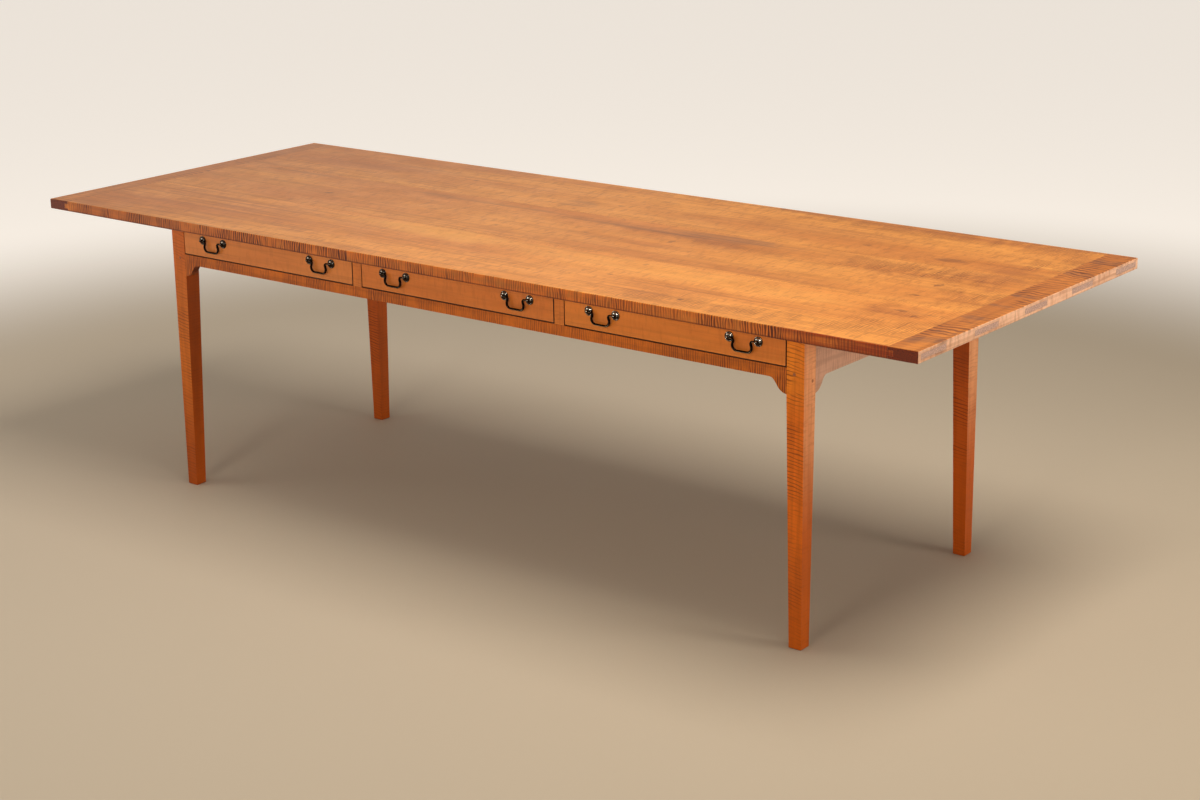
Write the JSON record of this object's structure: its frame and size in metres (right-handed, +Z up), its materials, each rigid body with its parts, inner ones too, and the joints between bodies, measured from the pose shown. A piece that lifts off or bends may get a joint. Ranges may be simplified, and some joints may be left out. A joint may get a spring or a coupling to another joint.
{
  "type": "farmhouse dining table",
  "caption": "Long farmhouse dining table in figured maple with breadboard ends, tapered legs, bracketed aprons and sliding apron drawers with swinging bail pulls.",
  "frame": {"origin": "on the floor under the middle of the top", "axes": "+X along the length of the table, to the right seen from the drawer side; -Y towards the drawer side; +Z up"},
  "size_m": [2.645, 0.989, 0.762],
  "materials": {
    "maple_top": "satin lacquer over honey-amber figured maple",
    "maple_breadboard": "satin lacquer over darker red-brown maple",
    "maple_leg": "satin lacquer over strongly striped maple",
    "maple_rail": "satin lacquer over striped maple",
    "maple_apron": "satin lacquer over lightly striped maple",
    "maple_drawer_front": "satin lacquer over plain golden maple",
    "poplar_drawer_box": "bare planed poplar",
    "poplar_inner_frame": "bare sawn poplar",
    "antiqued_brass": "blackened antique finish with bright rubbed highlights"
  },
  "bodies": {
    "frame": {"top_board_front": "maple_top", "top_board_middle": "maple_top", "top_board_back": "maple_top", "breadboard_end_left": "maple_breadboard", "breadboard_end_right": "maple_breadboard", "leg_front_left": "maple_leg", "leg_front_right": "maple_leg", "leg_back_left": "maple_leg", "leg_back_right": "maple_leg", "front_lower_rail": "maple_rail", "front_top_rail": "maple_rail", "divider_left": "maple_rail", "divider_right": "maple_rail", "back_apron": "maple_apron", "end_apron_left": "maple_apron", "end_apron_right": "maple_apron", "end_runner_left": "poplar_inner_frame", "end_runner_right": "poplar_inner_frame", "middle_runner_left": "poplar_inner_frame", "middle_runner_right": "poplar_inner_frame", "end_kicker_left": "poplar_inner_frame", "end_kicker_right": "poplar_inner_frame", "middle_kicker_left": "poplar_inner_frame", "middle_kicker_right": "poplar_inner_frame"},
    "drawer_left": {"drawer_left_front": "maple_drawer_front", "drawer_left_side_left": "poplar_drawer_box", "drawer_left_side_right": "poplar_drawer_box", "drawer_left_back": "poplar_drawer_box", "drawer_left_bottom": "poplar_drawer_box", "drawer_left_left_pull_post_left": "antiqued_brass", "drawer_left_left_pull_post_right": "antiqued_brass", "drawer_left_right_pull_post_left": "antiqued_brass", "drawer_left_right_pull_post_right": "antiqued_brass"},
    "drawer_middle": {"drawer_middle_front": "maple_drawer_front", "drawer_middle_side_left": "poplar_drawer_box", "drawer_middle_side_right": "poplar_drawer_box", "drawer_middle_back": "poplar_drawer_box", "drawer_middle_bottom": "poplar_drawer_box", "drawer_middle_left_pull_post_left": "antiqued_brass", "drawer_middle_left_pull_post_right": "antiqued_brass", "drawer_middle_right_pull_post_left": "antiqued_brass", "drawer_middle_right_pull_post_right": "antiqued_brass"},
    "drawer_right": {"drawer_right_front": "maple_drawer_front", "drawer_right_side_left": "poplar_drawer_box", "drawer_right_side_right": "poplar_drawer_box", "drawer_right_back": "poplar_drawer_box", "drawer_right_bottom": "poplar_drawer_box", "drawer_right_left_pull_post_left": "antiqued_brass", "drawer_right_left_pull_post_right": "antiqued_brass", "drawer_right_right_pull_post_left": "antiqued_brass", "drawer_right_right_pull_post_right": "antiqued_brass"},
    "drawer_left_left_bail": {"drawer_left_left_pull_bail": "antiqued_brass"},
    "drawer_left_right_bail": {"drawer_left_right_pull_bail": "antiqued_brass"},
    "drawer_middle_left_bail": {"drawer_middle_left_pull_bail": "antiqued_brass"},
    "drawer_middle_right_bail": {"drawer_middle_right_pull_bail": "antiqued_brass"},
    "drawer_right_left_bail": {"drawer_right_left_pull_bail": "antiqued_brass"},
    "drawer_right_right_bail": {"drawer_right_right_pull_bail": "antiqued_brass"}
  },
  "joints": [
    {"name": "drawer_left_slide", "type": "slide", "parent": "frame", "child": "drawer_left", "axis": [0, -1, 0], "range_m": [0, 0.34]},
    {"name": "drawer_middle_slide", "type": "slide", "parent": "frame", "child": "drawer_middle", "axis": [0, -1, 0], "range_m": [0, 0.34]},
    {"name": "drawer_right_slide", "type": "slide", "parent": "frame", "child": "drawer_right", "axis": [0, -1, 0], "range_m": [0, 0.34]},
    {"name": "drawer_left_left_bail_swing", "type": "hinge", "parent": "drawer_left", "child": "drawer_left_left_bail", "pos_m": [-0.82683, -0.3865, 0.685], "axis": [-1, 0, 0], "range_deg": [-9, 167]},
    {"name": "drawer_left_right_bail_swing", "type": "hinge", "parent": "drawer_left", "child": "drawer_left_right_bail", "pos_m": [-0.44183, -0.3865, 0.685], "axis": [-1, 0, 0], "range_deg": [-9, 167]},
    {"name": "drawer_middle_left_bail_swing", "type": "hinge", "parent": "drawer_middle", "child": "drawer_middle_left_bail", "pos_m": [-0.1925, -0.3865, 0.685], "axis": [-1, 0, 0], "range_deg": [-9, 167]},
    {"name": "drawer_middle_right_bail_swing", "type": "hinge", "parent": "drawer_middle", "child": "drawer_middle_right_bail", "pos_m": [0.1925, -0.3865, 0.685], "axis": [-1, 0, 0], "range_deg": [-9, 167]},
    {"name": "drawer_right_left_bail_swing", "type": "hinge", "parent": "drawer_right", "child": "drawer_right_left_bail", "pos_m": [0.44183, -0.3865, 0.685], "axis": [-1, 0, 0], "range_deg": [-9, 167]},
    {"name": "drawer_right_right_bail_swing", "type": "hinge", "parent": "drawer_right", "child": "drawer_right_right_bail", "pos_m": [0.82683, -0.3865, 0.685], "axis": [-1, 0, 0], "range_deg": [-9, 167]}
  ]
}
